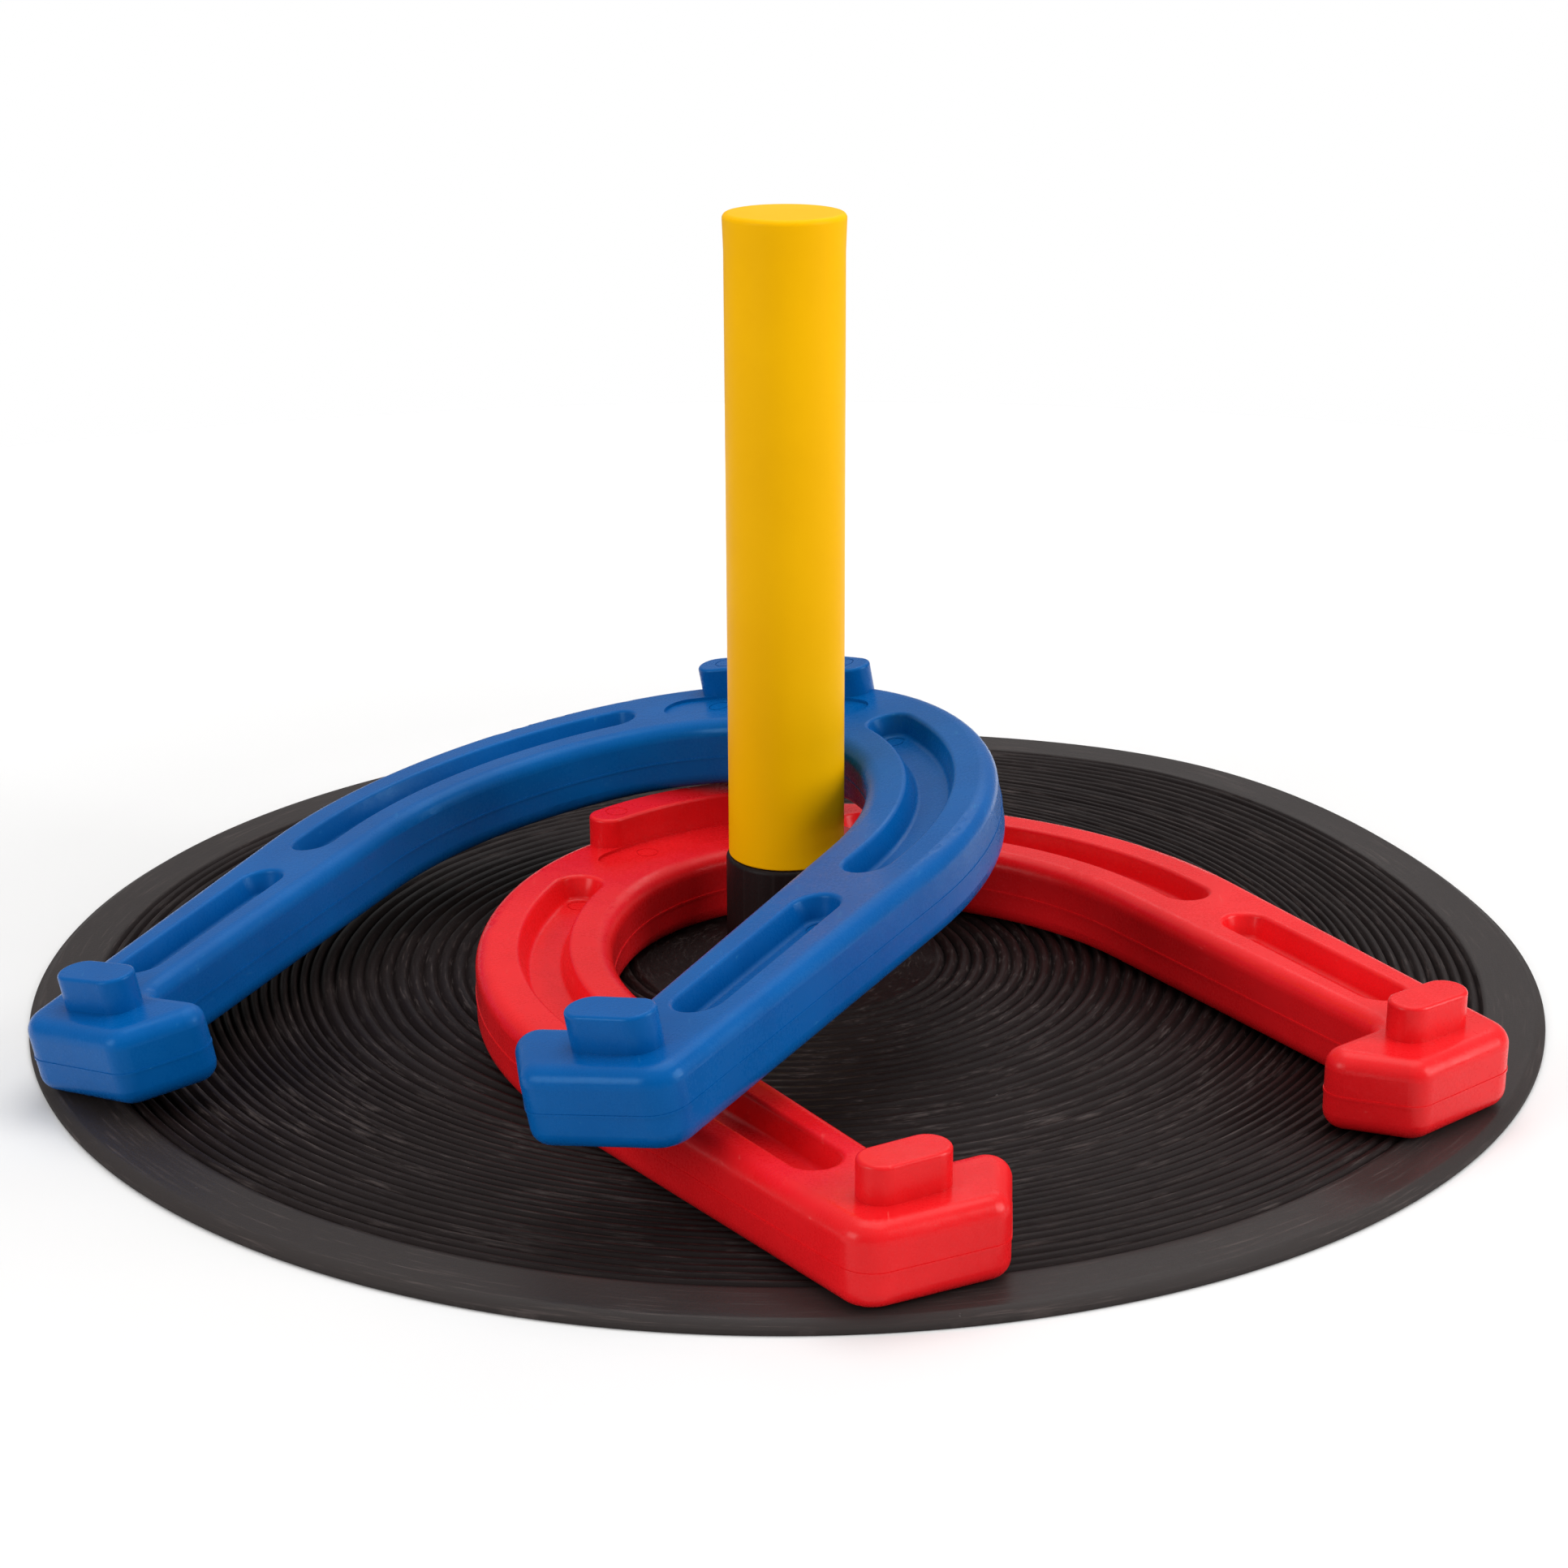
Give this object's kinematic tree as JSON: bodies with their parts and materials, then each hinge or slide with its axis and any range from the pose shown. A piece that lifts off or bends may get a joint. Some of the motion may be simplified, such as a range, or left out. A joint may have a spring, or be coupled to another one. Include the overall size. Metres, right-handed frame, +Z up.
{
  "type": "ring toss set",
  "caption": "Horseshoe pitching target: ribbed rubber mat with a stud, a pull-off hollow peg and rubber horseshoes lying ringed round it.",
  "frame": {"origin": "centre of the mat's flat underside", "axes": "+Z up along the peg; the players' side, from which the set is usually seen, is -Y"},
  "size_m": [0.33, 0.33, 0.1672],
  "materials": {
    "mat_rubber": "moulded black rubber, satin",
    "peg_plastic": "smooth yellow plastic, soft gloss",
    "red_rubber": "moulded red rubber, semi-gloss",
    "blue_rubber": "moulded blue rubber, semi-gloss"
  },
  "bodies": {
    "target_mat": {"target_mat": "mat_rubber"},
    "peg": {"peg": "peg_plastic"},
    "red_horseshoe": {"red_horseshoe": "red_rubber"},
    "blue_horseshoe": {"blue_horseshoe": "blue_rubber"}
  },
  "joints": [
    {"name": "peg_pull", "type": "slide", "parent": "target_mat", "child": "peg", "axis": [0, 0, 1], "range_m": [0, 0.165]},
    {"name": "red_lift", "type": "slide", "parent": "target_mat", "child": "red_horseshoe", "axis": [0, 0, 1], "range_m": [0, 0.17]},
    {"name": "blue_lift", "type": "slide", "parent": "red_horseshoe", "child": "blue_horseshoe", "axis": [0, 0, 1], "range_m": [0, 0.17]}
  ]
}
